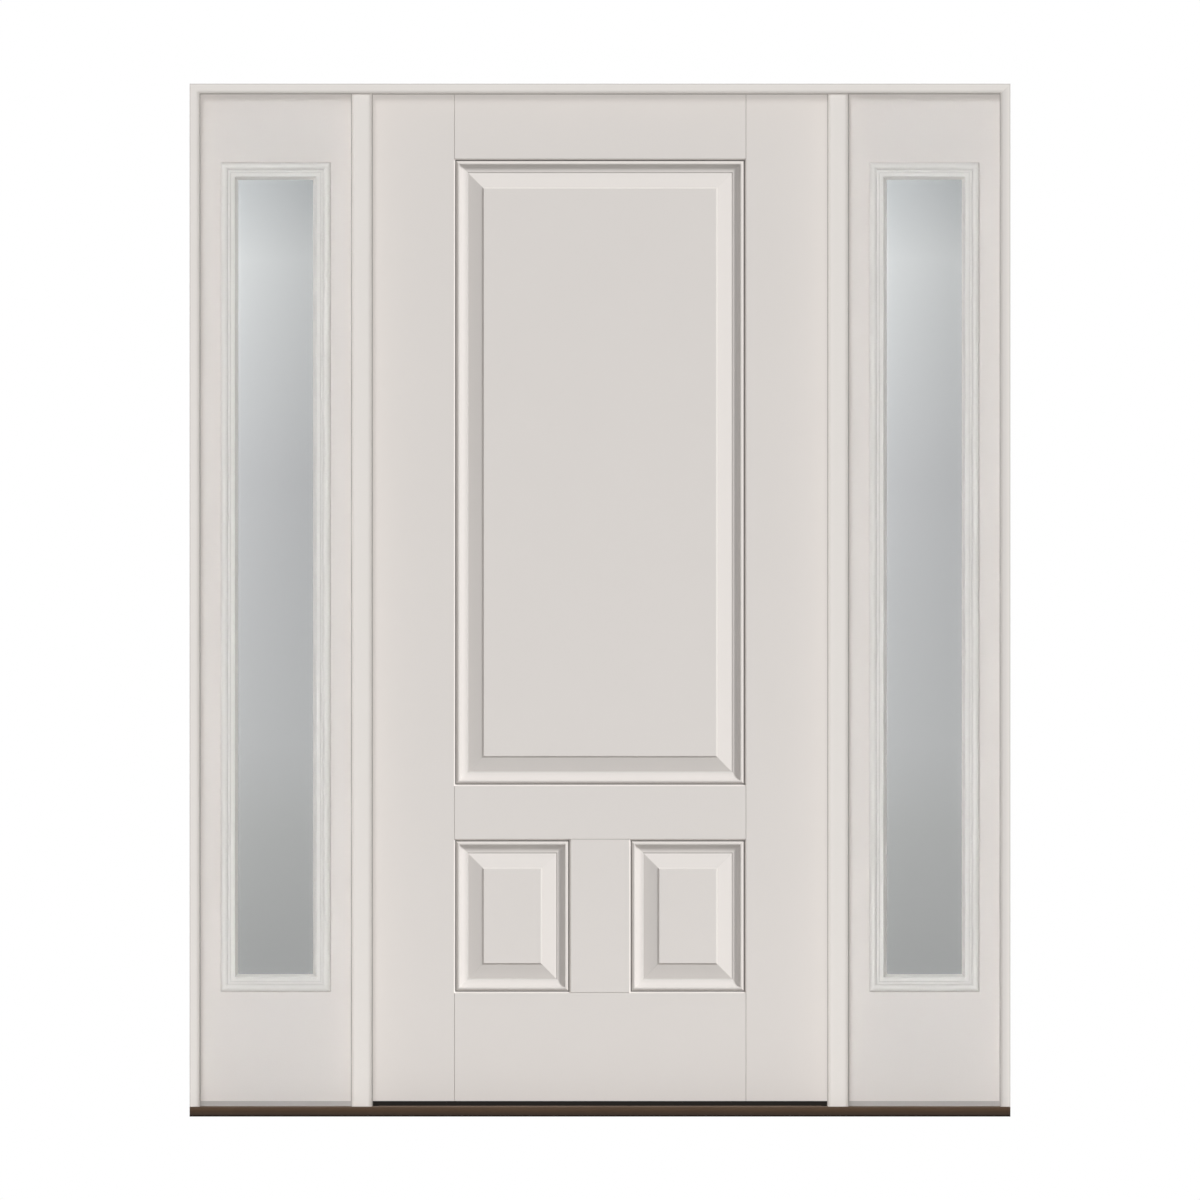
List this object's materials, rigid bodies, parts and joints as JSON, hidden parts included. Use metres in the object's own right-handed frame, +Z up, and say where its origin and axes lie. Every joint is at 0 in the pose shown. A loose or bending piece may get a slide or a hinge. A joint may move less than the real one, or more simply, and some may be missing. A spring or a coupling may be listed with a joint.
{
  "type": "entry door with fixed sidelights",
  "caption": "Painted panelled entry door hung between tall glazed sidelights in a shared frame on a low bronze sill; the leaf swings inward.",
  "frame": {"origin": "Middle of the sill's flat underside, midway through the depth of the jambs", "axes": "+Z up, +X to the right as seen from outside, +Y from the outside to the inside"},
  "size_m": [1.633, 0.159, 2.055],
  "materials": {
    "frame_paint": "satin",
    "sill_bronze": "satin",
    "cap_composite": "matte",
    "base_grey": "matte",
    "seal_grey": "matte",
    "door_paint": "satin",
    "edge_wood": "matte",
    "core_foam": "matte",
    "sweep_rubber": "matte",
    "lite_frame": "satin",
    "clear_glass": "gloss",
    "spacer_aluminium": "matte",
    "hinge_steel": "satin"
  },
  "bodies": {
    "frame": {"head_jamb": "frame_paint", "left_jamb": "frame_paint", "right_jamb": "frame_paint", "left_mullion": "frame_paint", "right_mullion": "frame_paint", "sill": "sill_bronze", "threshold_cap": "cap_composite", "left_sidelight_base": "base_grey", "right_sidelight_base": "base_grey", "left_weatherstrip": "seal_grey", "right_weatherstrip": "seal_grey", "head_weatherstrip": "seal_grey", "left_sidelight_exterior_skin": "door_paint", "left_sidelight_interior_skin": "door_paint", "right_sidelight_exterior_skin": "door_paint", "right_sidelight_interior_skin": "door_paint", "left_sidelight_core": "core_foam", "right_sidelight_core": "core_foam", "left_sidelight_outer_lite_frame": "lite_frame", "left_sidelight_inner_lite_frame": "lite_frame", "right_sidelight_outer_lite_frame": "lite_frame", "right_sidelight_inner_lite_frame": "lite_frame", "left_sidelight_outer_pane": "clear_glass", "left_sidelight_inner_pane": "clear_glass", "right_sidelight_outer_pane": "clear_glass", "right_sidelight_inner_pane": "clear_glass", "left_sidelight_glass_spacer": "spacer_aluminium", "right_sidelight_glass_spacer": "spacer_aluminium", "top_hinge_frame_leaf": "hinge_steel", "top_hinge_pin": "hinge_steel", "middle_hinge_frame_leaf": "hinge_steel", "middle_hinge_pin": "hinge_steel", "bottom_hinge_frame_leaf": "hinge_steel", "bottom_hinge_pin": "hinge_steel"},
    "door": {"door_exterior_skin": "door_paint", "door_interior_skin": "door_paint", "door_hinge_stile": "edge_wood", "door_lock_stile": "edge_wood", "door_top_rail": "edge_wood", "door_bottom_rail": "edge_wood", "door_core": "core_foam", "door_sweep": "sweep_rubber", "top_hinge_door_leaf": "hinge_steel", "middle_hinge_door_leaf": "hinge_steel", "bottom_hinge_door_leaf": "hinge_steel"}
  },
  "joints": [
    {"name": "door_swing", "type": "hinge", "parent": "frame", "child": "door", "pos_m": [-0.4595, 0.0645, 1], "axis": [0, 0, 1], "range_deg": [0, 170]}
  ]
}
